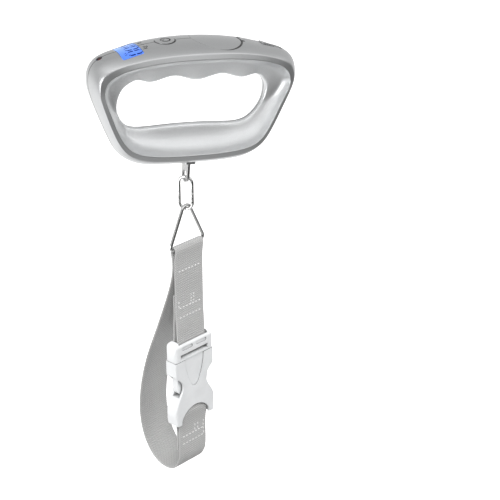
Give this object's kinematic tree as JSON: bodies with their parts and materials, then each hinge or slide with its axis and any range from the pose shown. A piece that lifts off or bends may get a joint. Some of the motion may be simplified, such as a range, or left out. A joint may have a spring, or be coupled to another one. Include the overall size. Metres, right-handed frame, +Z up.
{
  "type": "digital luggage scale",
  "caption": "Hand-held scale with a ring-shaped grip, display on top, steel hook and link, and a hanging webbing loop closed by a side-release buckle.",
  "frame": {"origin": "where the fingers lift: the middle of the grip's finger edge, on the load axis through the hook", "axes": "+Z up along the load axis, X along the grip with the display at -X and the slide switch at +X, -Y the front"},
  "size_m": [0.135, 0.0602, 0.3046],
  "materials": {
    "shell_paint": "satin metallic silver paint over plastic",
    "steel": "plated steel",
    "chrome": "bright plated wire",
    "buckle": "pale grey moulded plastic",
    "webbing": "ribbed woven webbing",
    "thread": "sewing thread",
    "lens": "clear plastic window",
    "display": "blue backlit display",
    "glow": "light guide",
    "dark_plastic": "black moulded plastic",
    "button_paint": "satin silver paint over plastic",
    "lamp": "red diffused epoxy",
    "board": "green solder mask",
    "parts": "component bodies",
    "cell_can": "coin cell can",
    "spring_metal": "nickel-plated spring strip",
    "alloy": "machined aluminium",
    "gauge": "foil gauge",
    "wire": "insulated wire"
  },
  "bodies": {
    "handle": {"front_shell": "shell_paint", "rear_shell": "shell_paint", "shell_screw_1": "steel", "shell_screw_2": "steel", "shell_screw_3": "steel", "shell_screw_4": "steel", "shell_screw_5": "steel", "opening_bush": "dark_plastic", "lcd_lens": "lens", "lcd_panel": "display", "lcd_backlight": "glow", "lcd_frame": "dark_plastic", "indicator_led": "lamp", "tact_switch": "dark_plastic", "switch_body": "steel", "battery_tray": "dark_plastic", "coin_cell": "cell_can", "contact_spring": "spring_metal", "contact_clip": "spring_metal", "circuit_board": "board", "board_parts": "parts", "load_cell": "alloy", "strain_gauges": "gauge", "cell_screw_left": "steel", "cell_screw_right": "steel", "cell_wires": "wire", "lamp_wires": "wire", "hook_plate": "steel", "hook_pin": "steel"},
    "button": {"power_button": "button_paint", "tact_plunger": "dark_plastic"},
    "knob": {"switch_knob": "button_paint"},
    "cover": {"battery_cover": "shell_paint"},
    "link": {"chain_link": "chrome"},
    "ring": {"triangle_ring": "chrome"},
    "webbing": {"strap_main": "webbing", "stitching_upper": "thread", "buckle_head": "buckle"},
    "prong_r": {"prong_right": "buckle"},
    "prong_l": {"prong_left": "buckle"},
    "socket": {"buckle_socket": "buckle", "strap_tail": "webbing", "stitching_lower": "thread"}
  },
  "joints": [
    {"name": "button_press", "type": "slide", "parent": "handle", "child": "button", "axis": [0.087, 0, -0.9962], "range_m": [0, 0.0006], "stiffness_N_per_m": 400},
    {"name": "switch_slide", "type": "slide", "parent": "handle", "child": "knob", "axis": [0.9467, 0, -0.3222], "range_m": [0, 0.0021]},
    {"name": "cover_lift", "type": "slide", "parent": "handle", "child": "cover", "axis": [0.0561, 0, 0.9984], "range_m": [0, 0.025]},
    {"name": "link_swing", "type": "hinge", "parent": "handle", "child": "link", "pos_m": [0, 0, -0.0647], "axis": [0.7628, -0.6428, 0.0708], "range_deg": [-18, 18]},
    {"name": "ring_swing", "type": "hinge", "parent": "link", "child": "ring", "pos_m": [0.0018, 0, -0.08407], "axis": [0.9232, 0.3746, 0.0856], "range_deg": [-25, 25]},
    {"name": "strap_swing", "type": "hinge", "parent": "ring", "child": "webbing", "pos_m": [0.00437, 0, -0.1118], "axis": [0.9232, 0.3746, 0.0856], "range_deg": [-35, 35]},
    {"name": "prong_squeeze", "type": "hinge", "parent": "webbing", "child": "prong_r", "pos_m": [0.02215, 0.0042, -0.19099], "axis": [-0.373, 0.9272, -0.0346], "range_deg": [0, 6], "stiffness_Nm_per_rad": 0.15},
    {"name": "prong_squeeze_left", "type": "hinge", "parent": "webbing", "child": "prong_l", "pos_m": [0.00146, -0.0042, -0.19291], "axis": [-0.373, 0.9272, -0.0346], "range_deg": [-6, 0], "stiffness_Nm_per_rad": 0.15},
    {"name": "buckle_release", "type": "slide", "parent": "webbing", "child": "socket", "axis": [0.0924, 0, -0.9957], "range_m": [0, 0.026]}
  ],
  "couplings": [
    {"joint": "prong_squeeze_left", "follows": "prong_squeeze", "ratio": -1}
  ]
}
